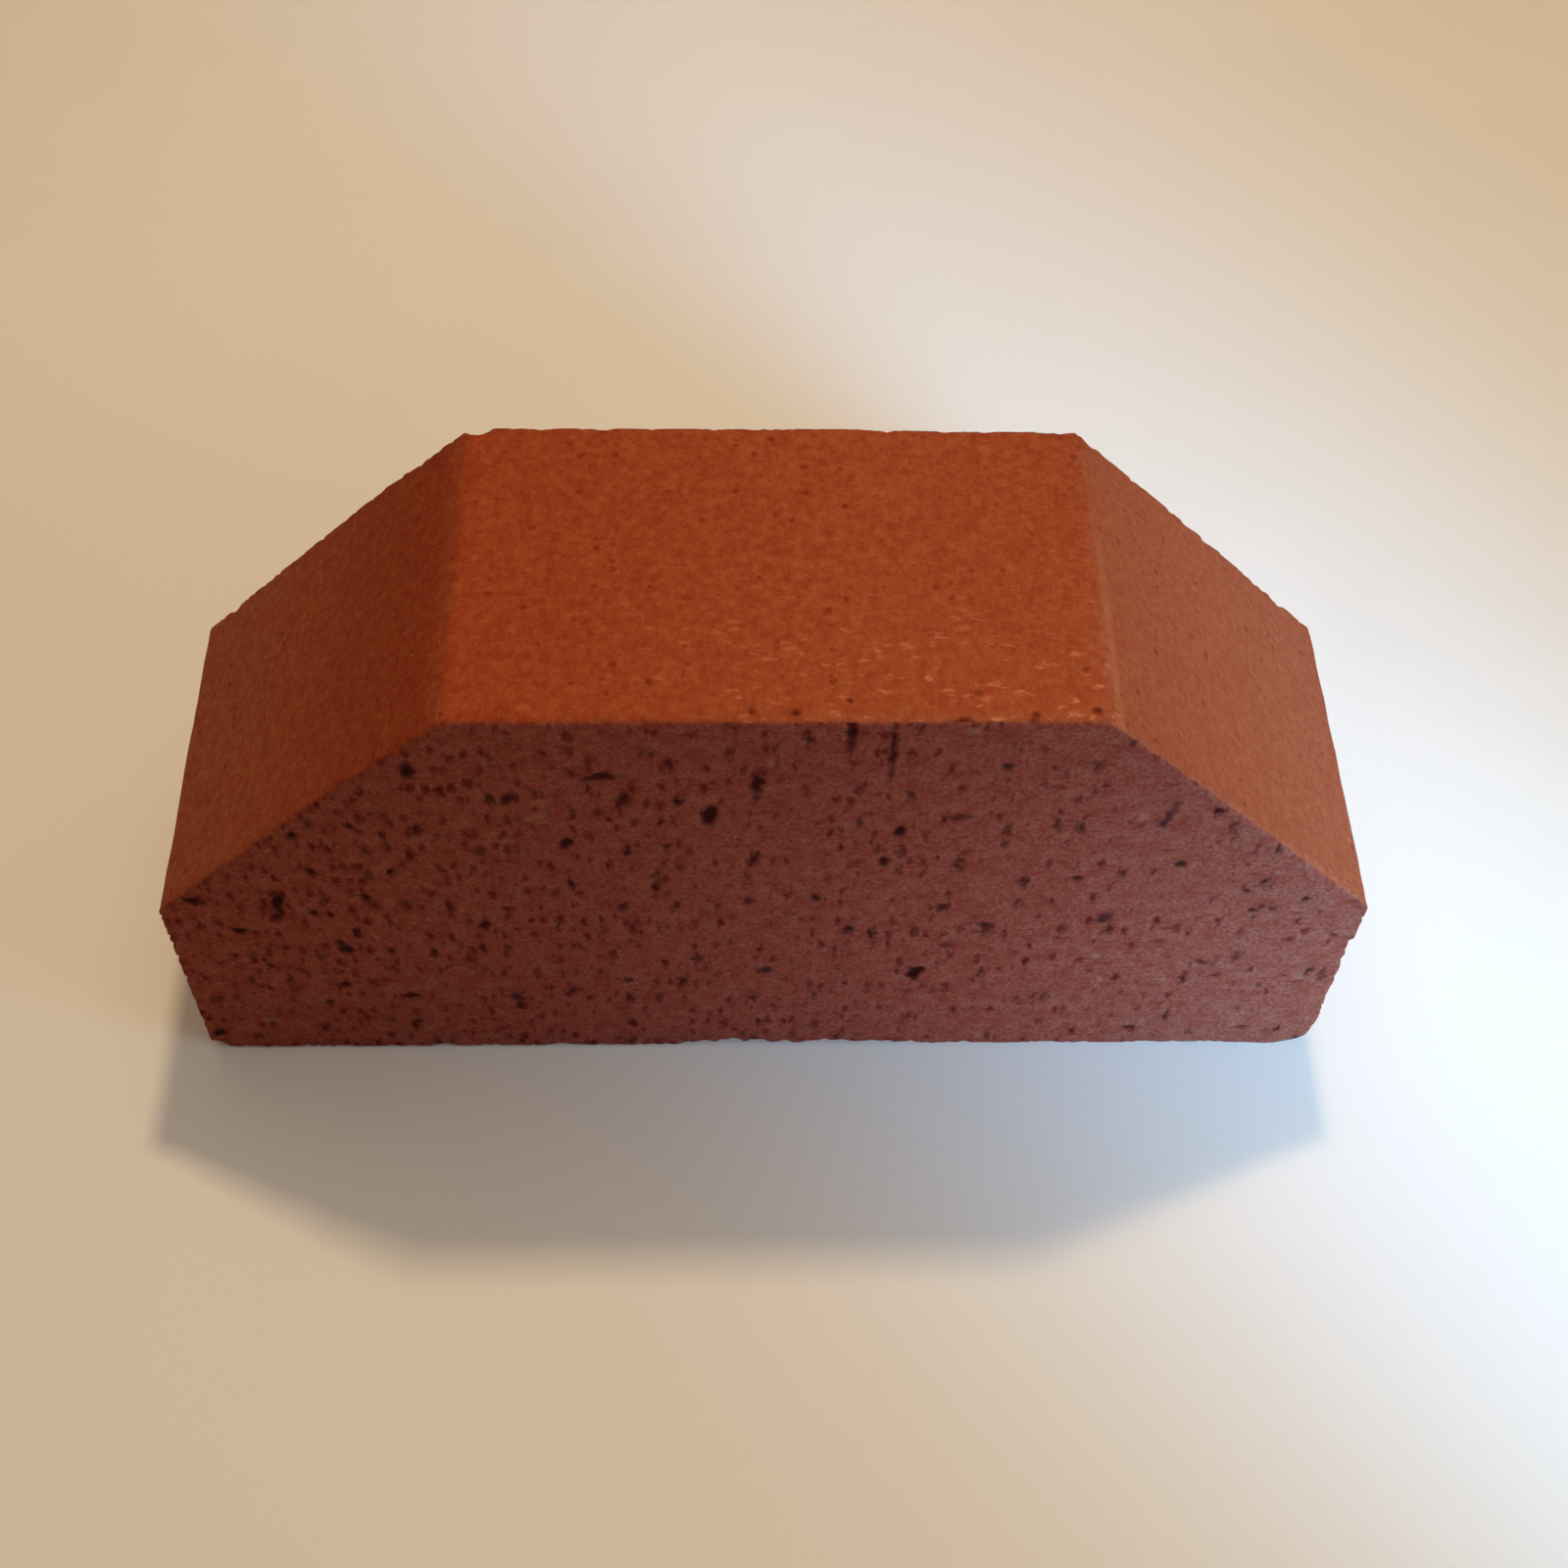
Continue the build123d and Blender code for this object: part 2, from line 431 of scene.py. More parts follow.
@dataclass
class BrickBody:
    """The brick's mesh: a band of skin round the section, closed by two cut faces."""

    length: float
    width: float
    course: float
    header_height: float = 50.7
    cant_run: float = 53.7
    easing_length: float = 20.5
    crease_insets: tuple[float, float] = (1.9, 0.4)
    foot_radii: tuple[float, float] = (3.5, 7.0)
    quoin_radius: float = 2.5
    crease_radius: float = 4.3
    easing_radius: float = 120.0
    front_arris: float = 1.3
    header_arris: float = 0.25
    back_arris: float = 1.0
    cant_columns: int = 74
    easing_columns: int = 22
    easing_arc_columns: int = 4
    crease_columns: int = 8
    top_columns: int = 142
    header_columns: int = 118
    half_arc_columns: int = 3
    front_arris_rows: int = 5
    middle_rows: int = 31
    back_arris_rows: int = 4
    back_strip: float = 0.9
    search_batches: int = 40
    header_break: Break = Break(
        seed=11,
        stations=(
            Station(5.9, 0.0, 0.0),
            Station(7.0, 0.3, 0.7),
            Station(9.5, 0.0, 0.0),
            Station(11.0, 0.0, 0.0),
            Station(11.6, 0.7, 1.6),
            Station(14.7, 0.9, 1.9),
            Station(16.7, 0.6, 1.3),
            Station(18.7, 0.9, 1.9),
            Station(20.9, 0.3, 0.8),
            Station(26.7, 0.4, 0.9),
            Station(33.2, 0.5, 1.1),
            Station(36.0, 0.1, 0.3),
            Station(41.0, 0.0, 0.0),
            Station(44.2, 0.6, 1.3),
            Station(47.2, 0.0, 0.0),
        ),
    )
    foot_break: Break = Break(
        seed=12,
        stations=(
            Station(84.0, 0.0, 0.0),
            Station(93.0, 1.7, 1.5),
            Station(99.0, 2.6, 2.4),
            Station(103.0, 2.9, 2.6),
            Station(106.0, 2.0, 1.9),
            Station(120.0, 2.2, 1.8),
            Station(131.0, 1.8, 1.7),
            Station(146.0, 0.0, 0.0),
        ),
    )
    wear: float = 0.25
    wear_reach: float = 2.2
    wear_share: float = 0.30
    wear_waves: Ripple = Ripple(wavelength=11, seed=41, swing=0.32)
    wear_teeth: Ripple = Ripple(wavelength=2.4, seed=42, waves=32)
    header_teeth: Ripple = Ripple(wavelength=1.9, seed=47, waves=32)
    undulation: float = 0.12
    broad_swell: Ripple = Ripple(wavelength=34, seed=43, swing=0.5)
    fine_swell: Ripple = Ripple(wavelength=8, seed=44, swing=0.3)
    broad_drag: Ripple = Ripple(wavelength=15, seed=46, swing=0.55)
    fine_drag: Ripple = Ripple(wavelength=6, seed=45, swing=0.18, stretch=(4, 1, 0.8))
    face_reach: float = 3.0
    back_fall: float = 0.66
    pit_depth: float = 0.35
    chip_depth: float = 0.55
    spot_waver: Ripple = Ripple(wavelength=2.0, seed=31, swing=0.20)
    spot_foreshortening: float = 0.60
    top_foreshortening: float = 0.80
    far_off: float = 9.0
    fields: dict[str, np.ndarray] = field(default_factory=dict)

    @property
    def meeting(self) -> float:
        """X where the right cant's line would meet the top. The left one's is its negative."""
        return self.length / 2 - self.cant_run

    @property
    def creases(self) -> tuple[float, float]:
        """X of the left and the right crease."""
        left_inset, right_inset = self.crease_insets
        return left_inset - self.meeting, self.meeting - right_inset

    @property
    def rise(self) -> float:
        """How much higher the cant's line ends than it starts."""
        return self.width - self.header_height

    def on_cant(self, distance: float) -> tuple[float, float]:
        """X and Z on the right cant's line, this far down from where it would meet the top."""
        slope = math.hypot(self.cant_run, self.rise)
        across = self.meeting + distance * self.cant_run / slope
        return across, self.width - distance * self.rise / slope

    def section(self) -> Section:
        """The section: feet, quoins, the places where the cants ease off, and the creases.

        Returns:
            The outline, with its corners from the left foot round by the right one.
        """
        half = self.length / 2
        easing, height = self.on_cant(self.easing_length)
        left_crease, right_crease = self.creases
        left_foot, right_foot = self.foot_radii
        rounded = (
            ((-half, 0), left_foot),
            ((half, 0), right_foot),
            ((half, self.header_height), self.quoin_radius),
            ((easing, height), self.easing_radius),
            ((right_crease, self.width), self.crease_radius),
            ((left_crease, self.width), self.crease_radius),
            ((-easing, height), self.easing_radius),
            ((-half, self.header_height), self.quoin_radius),
        )
        corners = np.array([corner for corner, radius in rounded], float)
        return Section(corners, np.array([radius for corner, radius in rounded]))

    def side_columns(self) -> int:
        """How many columns a long side has, from the middle of one end's arc to the other's."""
        slant = self.cant_columns + self.easing_arc_columns + self.easing_columns
        return 2 * (self.half_arc_columns + slant + self.crease_columns) + self.top_columns

    def end_columns(self) -> int:
        """How many columns an end has, from the foot arc's middle to the quoin arc's."""
        return 2 * self.half_arc_columns + self.header_columns

    def ring(self) -> np.ndarray:
        """Places round the outline, one for each column of the skin.

        Returns:
            The places, from the middle of the left foot's arc and back to it.
        """
        arc = self.half_arc_columns
        bottom = self.side_columns() - 2 * arc
        end = (arc, arc, self.header_columns, arc, arc)
        slant = (self.cant_columns, self.easing_arc_columns, self.easing_columns, self.crease_columns)
        counts = (arc, bottom, *end, *slant, self.top_columns, *slant[::-1], *end[:-1])
        marks = (0.5, 1, 2, 2.5, 3, 4, 4.5, *range(5, 15), 14.5, 15, 16, 16.5)
        stretches = zip(marks, marks[1:], counts)
        return np.concatenate([np.linspace(a, b, count, endpoint=False) for a, b, count in stretches])

    def rows(self) -> tuple[np.ndarray, np.ndarray]:
        """The rows of the skin, from the front cut face to the back one.

        On an arris the row turns through a quarter circle. Between them Y follows a tanh, so
        that the rows stand close together near the arrises.

        Returns:
            Each row's Y, and how far it lies inside the outline.
        """
        half = self.course / 2
        turn = np.linspace(np.pi / 2, 0, self.front_arris_rows + 1)
        front_y = -half + self.front_arris * (1 - np.sin(turn))
        front_in = self.front_arris * (1 - np.cos(turn))
        gather = 1.6
        middle = np.linspace(-1, 1, self.middle_rows + 1)[1:-1]
        low, high = -half + self.front_arris, half - self.back_arris
        middle_y = (low + high) / 2 + (high - low) / 2 * np.tanh(gather * middle) / math.tanh(gather)
        turn = np.linspace(0, np.pi / 2, self.back_arris_rows + 1)
        back_y = half - self.back_arris * (1 - np.sin(turn))
        back_in = self.back_arris * (1 - np.cos(turn))
        return (
            np.concatenate([front_y, middle_y, back_y]),
            np.concatenate([front_in, np.zeros(len(middle_y)), back_in]),
        )

    def softness(self, places: np.ndarray) -> np.ndarray:
        """How round the front arris is at each place of the outline, as a share of its radius.

        It is whole along the floor side, the cants and the top, and falls to the header's share
        on both headers and round their feet and quoins.

        Args:
            places: Places on the outline.

        Returns:
            One share per place.
        """
        marks = (0, 1, 1.94, 2, 5, 5.15, 13.85, 14, 16, 17)
        on_header = np.interp(places, marks, (1, 0, 0, 1, 1, 0, 0, 1, 1, 0))
        return 1 - on_header * (1 - self.header_arris / self.front_arris)

    def edge(self, places: np.ndarray, y: object, inset: object) -> np.ndarray:
        """A ring of points at its Y, or one Y each, inset from the outline along its normals."""
        point, normal = self.section().at(places)
        flat = point - normal * np.reshape(inset, (-1, 1))
        return np.column_stack([flat[:, 0], np.broadcast_to(y, len(flat)), flat[:, 1]])

    def skin_rows(self, places: np.ndarray) -> np.ndarray:
        """The skin's points, with the front arris as round as its softness says.

        Args:
            places: Places on the outline.

        Returns:
            The points, row by row from the front.
        """
        front, soft = -self.course / 2, self.softness(places)
        rows = []
        for number, (y, inset) in enumerate(zip(*self.rows())):
            share = soft if number <= self.front_arris_rows else 1
            rows.append(self.edge(places, front + (y - front) * share, inset * share))
        return np.concatenate(rows)

    @staticmethod
    def sides(ring: np.ndarray, columns: int, lines: int) -> tuple[np.ndarray, ...]:
        """Cut a ring round a grid into its bottom, right, top and left.

        Args:
            ring: The points or vertex numbers round the grid, from its lower left corner.
            columns: Cells along the bottom and the top.
            lines: Cells up each end.

        Returns:
            The four sides with their corners, each from the left or from the bottom.
        """
        closed = np.concatenate([ring, ring[:1]])
        right, top, left = columns, columns + lines, 2 * columns + lines
        return closed[: right + 1], closed[right : top + 1], closed[top : left + 1][::-1], closed[left:][::-1]

    def fill(self, ring: np.ndarray, columns: int, lines: int) -> np.ndarray:
        """Fill a ring of points with a grid.

        Each inner point is the mean of its row's ends by column share, plus that of its
        column's ends by line share, less that of the four corners by both shares.

        Args:
            ring: The points round the grid, from its lower left corner.
            columns: Cells along the bottom and the top.
            lines: Cells up each end.

        Returns:
            The inner points, line by line from the bottom.
        """
        bottom, right, top, left = self.sides(ring, columns, lines)
        u = (np.arange(1, columns) / columns)[None, :, None]
        v = (np.arange(1, lines) / lines)[:, None, None]
        up_and_down = bottom[None, 1:-1] * (1 - v) + top[None, 1:-1] * v
        across = left[1:-1, None] * (1 - u) + right[1:-1, None] * u
        low = bottom[0] * (1 - u) + bottom[-1] * u
        high = top[0] * (1 - u) + top[-1] * u
        return (up_and_down + across - low * (1 - v) - high * v).reshape(-1, 3)

    def grid_faces(self, ring: np.ndarray, inner: np.ndarray, columns: int, lines: int) -> np.ndarray:
        """The quads of a filled ring, anticlockwise from its lower left corner.

        Args:
            ring: Vertex numbers round the grid.
            inner: Vertex numbers inside it, line by line.
            columns: Cells along the bottom and the top.
            lines: Cells up each end.

        Returns:
            Four vertex numbers per quad.
        """
        number = np.empty((lines + 1, columns + 1), int)
        number[0], number[:, -1], number[-1], number[:, 0] = self.sides(ring, columns, lines)
        number[1:-1, 1:-1] = inner.reshape(lines - 1, columns - 1)
        quads = [number[:-1, :-1], number[:-1, 1:], number[1:, 1:], number[1:, :-1]]
        return np.stack(quads, axis=-1).reshape(-1, 4)

    def surface(self) -> tuple[np.ndarray, np.ndarray, np.ndarray]:
        """The brick's form before anything is carved.

        Returns:
            The points, the quads, and the triangles that join the skin to the back cut face.
        """
        places = self.ring()
        count = len(places)
        skin = self.skin_rows(places)
        columns, lines = self.side_columns(), self.end_columns()
        front_inner = self.fill(skin[:count], columns, lines)
        half = self.course / 2
        back_ring = self.edge(places[::2], half, self.back_arris + self.back_strip)
        back_inner = self.fill(back_ring, columns // 2, lines // 2)
        points = np.concatenate([skin, front_inner, back_ring, back_inner])

        first_front = len(skin)
        first_back = first_front + len(front_inner)
        first_back_inner = first_back + len(back_ring)
        grid = np.arange(len(skin)).reshape(-1, count)
        following = np.roll(grid, -1, axis=1)
        band = np.stack([grid[:-1], grid[1:], following[1:], following[:-1]], axis=-1).reshape(-1, 4)
        front = self.grid_faces(grid[0], np.arange(first_front, first_back), columns, lines)
        back_numbers = np.arange(first_back, first_back_inner)
        back = self.grid_faces(
            back_numbers, np.arange(first_back_inner, len(points)), columns // 2, lines // 2
        )
        even, odd = grid[-1][::2], grid[-1][1::2]
        beyond, next_back = np.roll(even, -1), np.roll(back_numbers, -1)
        strip = np.concatenate(
            [
                np.column_stack([even, back_numbers, odd]),
                np.column_stack([odd, back_numbers, next_back]),
                np.column_stack([odd, next_back, beyond]),
            ]
        )
        return points, np.concatenate([band, front, back[:, ::-1]]), strip

    def skin_depth(self, points: np.ndarray) -> tuple[np.ndarray, np.ndarray]:
        """How deep each point lies under the skin, and which way the skin faces there.

        The depth is the step from the point to the nearest sample of the outline, measured
        along that sample's normal.

        Args:
            points: The points, one row each.

        Returns:
            The depths, and outward normals with no Y part, one row each.
        """
        sample, outward = self.section().at(self.ring()[::2])
        depth = np.empty(len(points))
        facing = np.zeros((len(points), 3))
        for part in np.array_split(np.arange(len(points)), self.search_batches):
            flat = points[part][:, [0, 2]]
            near = ((flat[:, None] - sample) ** 2).sum(axis=2).argmin(axis=1)
            normal = outward[near]
            depth[part] = ((sample[near] - flat) * normal).sum(axis=1)
            facing[part, 0], facing[part, 2] = normal[:, 0], normal[:, 1]
        return depth, facing

    def scoops(self) -> tuple[Scoop, ...]:
        """The round chips and nicks, placed from the brick's corners.

        Returns:
            The scoops, in the order in which they bite.
        """
        half, front, back, top = self.length / 2, -self.course / 2, self.course / 2, self.width
        left_crease, right_crease = self.creases
        slope = math.hypot(self.cant_run, self.rise)
        across, height = self.on_cant(slope - 9.0)
        off_cant = (-self.rise, slope, self.cant_run)
        return (
            Scoop((-half, front, 0), (-1, -1, -1), radius=5.0, bite=3.2),
            Scoop((left_crease + 1.0, back, top), (0, 1, 1), radius=4.0, bite=1.9),
            Scoop((right_crease - 1.1, back, top), (0, 1, 1), radius=2.6, bite=1.2),
            Scoop((right_crease - 9.5, back, top), (0, 1, 1), radius=2.4, bite=1.0),
            Scoop((-across, back, height), off_cant, radius=2.6, bite=1.3),
            Scoop((-half + 45.0, front, 0), (0, -1, -1), radius=6.0, bite=1.3),
            Scoop((-half + 68.0, front, 0), (0, -1, -1), radius=6.0, bite=1.3),
            Scoop((right_crease + 0.5, front, top), (0.35, -1, 1), radius=12.0, bite=1.35),
            Scoop((left_crease - 2.7, front, top - 1.6), (-0.5, -1, 1), radius=2.6, bite=1.3),
            Scoop((11.7, front, top), (0, -1, 1), radius=1.6, bite=1.2),
            Scoop((28.6, front, top), (0, -1, 1), radius=1.3, bite=0.95),
            Scoop((31.4, front, top), (0, -1, 1), radius=1.5, bite=1.0),
        )

    def scuff_fields(self, points: np.ndarray) -> None:
        """Measure how pale the skin is made, by scuffing and by painted light, and how thickly pale
        fleck marks, partly painted glints, lie on it.

        Each is a base plus a share for each zone, and the zones' edges are in millimetres. Both
        rise towards the front arris and to the right. The right cant is paled as painted light, but
        has few fleck marks. A line just outside the right crease, a painted highlight along its
        ridge, is palest, and the front arris right of the middle a little.

        Args:
            points: The points, one row each.
        """
        across, along = points[:, 0], points[:, 1]
        spread = smooth_step(10, -30, along) * smooth_step(-50, 30, across)
        beyond = across - self.meeting
        # Painted light: the right cant paled, less so at its foot.
        cant = smooth_step(0, 4, beyond) * (1 - 0.35 * smooth_step(92, 104, across))
        rim = smooth_step(-30, -31.6, along) * smooth_step(-4, 8, across) * smooth_step(44, 34, across)
        # Painted highlight: a pale line along the ridge just outside the right crease.
        line = smooth_step(1.3, 0.2, np.abs(beyond - 1.6)) * smooth_step(32, -10, along)
        top = spread * (1 - cant)
        self.fields["scuff"] = 0.15 + 0.65 * top + 0.95 * cant + 0.6 * rim + 2.6 * line
        # Where pale fleck marks lie, partly painted glints on raised drag ridges.
        self.fields["flecked_and_glinting"] = 0.18 + 1.1 * top + 0.15 * cant + 0.4 * rim

    def tone_fields(self, points: np.ndarray) -> None:
        """Measure where the clay's colour drifts, and where light and shade are painted on it.

        Pepper is how thickly the iron specks lie, and falls from left to right. Painted warm shade
        makes the skin darker and warmer at the top's left and high on the left cant. Painted cool
        shade lies on both cants, but less so high on the right one. Painted cool light makes the cut
        face bluer towards the right.

        Args:
            points: The points, one row each.
        """
        across, height = points[:, 0], points[:, 2]
        on_left_cant = smooth_step(-51, -57, across)
        left_top = 0.5 * smooth_step(20, -50, across) * smooth_step(100, 103, height)
        # Where the right cant's upper part is lit, its painted cool shade is less.
        bright = 0.35 * smooth_step(50, 53, across) * smooth_step(96, 66, across)
        self.scuff_fields(points)
        self.fields["pepper"] = np.interp(across, (-85, -20, 40, 95), (1.35, 1.0, 0.60, 0.26))
        # Painted warm shade: darker and warmer at the top's left and high on the left cant.
        self.fields["ruddy"] = np.maximum(left_top, on_left_cant * smooth_step(58, 99, height))
        # Painted cool shade on both cants.
        self.fields["dull"] = smooth_step(50, 58, np.abs(across)) * (1 - bright)
        # Painted cool light: the cut face bluer towards the right.
        self.fields["dusty"] = smooth_step(30, 100, across)

    def spot_fields(self, points: np.ndarray, view: Viewpoint) -> None:
        """Measure how far each point lies outside the nearest spot of each tint.

        A spot is an oval, sized as the camera sees its face, which looks shorter than it is.
        The distance outside it is taken as (radius - 1) times half its width, where radius is
        1 on its rim, so it is negative inside. It wavers near a spot, and is raised towards the
        right header, so that the spots there are smaller and fainter. Further from the spot's
        own face than its reach, the distance is large.

        Args:
            points: The points, one row each.
            view: The viewpoint that carries the spots' pixels onto the faces.
        """
        for tint in Tint:
            spots = [spot for spot in SPOTS if spot.tint is tint]
            pixels = np.array([spot.pixel for spot in spots])
            if tint is Tint.POCK:
                axis, level, reach, share = 2, self.width, 1.5, self.top_foreshortening
            else:
                axis, level, reach, share = 1, -self.course / 2, 0.6, self.spot_foreshortening
            on_face = np.abs(points[:, axis] - level) < reach
            plane, shortened = [0, 3 - axis], np.array((1, share))
            flat = points[on_face][:, plane] * shortened
            nearest = np.full(len(flat), self.far_off)
            for spot, place in zip(spots, view.onto(pixels, axis, level)[:, plane] * shortened):
                turn = math.radians(spot.turn)
                long, wide = spot.size
                step = flat - place
                far = step[:, 0] * math.cos(turn) + step[:, 1] * math.sin(turn)
                near = step[:, 1] * math.cos(turn) - step[:, 0] * math.sin(turn)
                radius = np.hypot(far / (long / 2), near / (wide / 2))
                nearest = np.minimum(nearest, (radius - 1) * wide / 2)
            nearest += 0.4 * smooth_step(66, 92, points[on_face, 0])
            whole = np.full(len(points), self.far_off)
            whole[on_face] = nearest + self.spot_waver.at(points[on_face]) * (nearest < 2)
            self.fields[tint.value] = whole

    def carve(self, points: np.ndarray, view: Viewpoint) -> np.ndarray:
        """Carve breaks, chips, wear, gentle unevenness and pits, always inwards.

        The wear falls off as e to the minus square of the distance from the arris over its
        reach. The skin sinks along its normal by a broad and a fine swell, and the top falls
        away towards the back right. The cut faces sink by a broad and a fine drag, and by a pit
        at each iron spot. A point counts as broken by what it has moved beyond the chip depth.

        Args:
            points: The form's points.
            view: The viewpoint, for the spots that have pits.

        Returns:
            The carved points.
        """
        half_length, half = self.length / 2, self.course / 2
        depth, facing = self.skin_depth(points)
        front, back = points[:, 1] + half, half - points[:, 1]
        near_face = np.minimum(front, back)
        self.fields["rim"] = depth - near_face
        self.tone_fields(points)
        self.spot_fields(points, view)
        on_front, on_back = smooth_step(self.face_reach, 0, front), smooth_step(self.face_reach, 0, back)
        on_header = smooth_step(0.9, 1, np.abs(facing[:, 0])) * on_front
        inward_y = np.where(front < back, 1, -1)
        out = points.copy()

        arris = np.exp(-((np.maximum(depth, 0) + near_face) / self.wear_reach) ** 2)
        inward = np.column_stack([-facing[:, 0], inward_y, -facing[:, 2]])
        out += inward * (arris * self.bite(points, facing, on_back, on_header) * self.wear)[:, None]

        skin = smooth_step(1.5, 0, depth)
        swell = np.clip(self.broad_swell.at(points) + 0.5, 0, 2) + self.fine_swell.at(points)
        swell = np.clip(swell * (1 - on_header), 0, 2.5)
        out -= facing * (skin * swell * self.undulation)[:, None]
        right, rear = smooth_step(10, 42, points[:, 0]), smooth_step(-10, 26, points[:, 1])
        out[:, 2] -= self.back_fall * right * rear * skin * smooth_step(0.7, 0.98, facing[:, 2])

        face = smooth_step(0.8, 3, depth) * (on_front + on_back)
        drag = np.clip(self.fine_drag.at(points) + self.broad_drag.at(points) + 0.6, 0, 2.5)
        pit = smooth_step(0.5, -0.8, self.fields[Tint.IRON.value]) * self.pit_depth
        out[:, 1] += inward_y * face * (drag * self.undulation + pit)

        self.break_arris(self.header_break, 0, half_length, self.header_height - points[:, 2], out, points)
        self.break_arris(self.foot_break, 2, 0.0, points[:, 0] + half_length, out, points)
        for scoop in self.scoops():
            scoop.carve(out)
        out[:, 0] = np.clip(out[:, 0], -half_length, half_length)
        self.fields["broken"] = np.clip(np.linalg.norm(out - points, axis=1) - self.chip_depth, 0, 3)
        return out

    def bite(
        self, points: np.ndarray, facing: np.ndarray, on_back: np.ndarray, on_header: np.ndarray
    ) -> np.ndarray:
        """How deep the wear bites, as a multiple of the wear.

        It varies in long waves with fine teeth over them, larger on the cants' back arrises.
        On the headers' front arrises it is nothing but small teeth.

        Args:
            points: The form's points.
            facing: The skin's outward normal at each.
            on_back: How near the back cut face each is, 0 to 1.
            on_header: How far each is on a header's front arris, 0 to 1.

        Returns:
            One bite per point.
        """
        canted = np.clip(np.abs(facing[:, 0]) * facing[:, 2] * 2, 0, 1)
        teeth = (0.30 + 0.15 * canted * on_back) * self.wear_teeth.at(points)
        worn = self.wear_share + self.wear_waves.at(points) + teeth
        toothed = 0.5 * np.clip(self.header_teeth.at(points), 0, 2)
        return np.clip(worn + (toothed - worn) * on_header, 0, 3)

    def break_arris(
        self, broken: Break, axis: int, face: float, along: np.ndarray, out: np.ndarray, points: np.ndarray
    ) -> None:
        """Carve a break along the front cut face's arris with a side face, in place.

        Args:
            broken: The break.
            axis: The axis that the side face stands square to, 0 for X or 2 for Z.
            face: Where the side face cuts it.
            along: Distance of each point along the arris.
            out: The points to carve. They are changed.
            points: The form's points, which the ripple reads.
        """
        half = self.course / 2
        inward = -1 if face > 0 else 1
        front, side = out[:, 1] + half, (out[:, axis] - face) * inward
        broken.carve(front, side, along, points)
        out[:, 1], out[:, axis] = front - half, face + side * inward

    def build(self, view: Viewpoint) -> bpy.types.Object:
        """Build the brick's mesh, with its fields as vertex attributes.

        Args:
            view: The viewpoint, for the spots.

        Returns:
            The brick's object, at the origin.
        """
        points, quads, triangles = self.surface()
        carved = self.carve(points, view)
        mesh = bpy.data.meshes.new("cant_brick_dressed")
        corners = np.concatenate([quads.ravel(), triangles.ravel()]).astype(np.int32)
        sizes = np.concatenate([np.full(len(quads), 4), np.full(len(triangles), 3)])
        starts = np.concatenate([[0], np.cumsum(sizes)[:-1]]).astype(np.int32)
        mesh.vertices.add(len(carved))
        mesh.vertices.foreach_set("co", (carved * METRES).astype(np.float32).ravel())
        mesh.loops.add(len(corners))
        mesh.loops.foreach_set("vertex_index", corners)
        mesh.polygons.add(len(sizes))
        mesh.polygons.foreach_set("loop_start", starts)
        mesh.polygons.foreach_set("use_smooth", np.ones(len(sizes), bool))
        mesh.update(calc_edges=True)
        mesh.validate()
        for name, values in self.fields.items():
            attribute = mesh.attributes.new(name, "FLOAT", "POINT")
            attribute.data.foreach_set("value", values.astype(np.float32))
        brick = bpy.data.objects.new("cant_brick_dressed", mesh)
        bpy.context.scene.collection.objects.link(brick)
        LOG.info("brick: %d points, %d triangles", len(carved), 2 * len(quads) + len(triangles))
        return brick


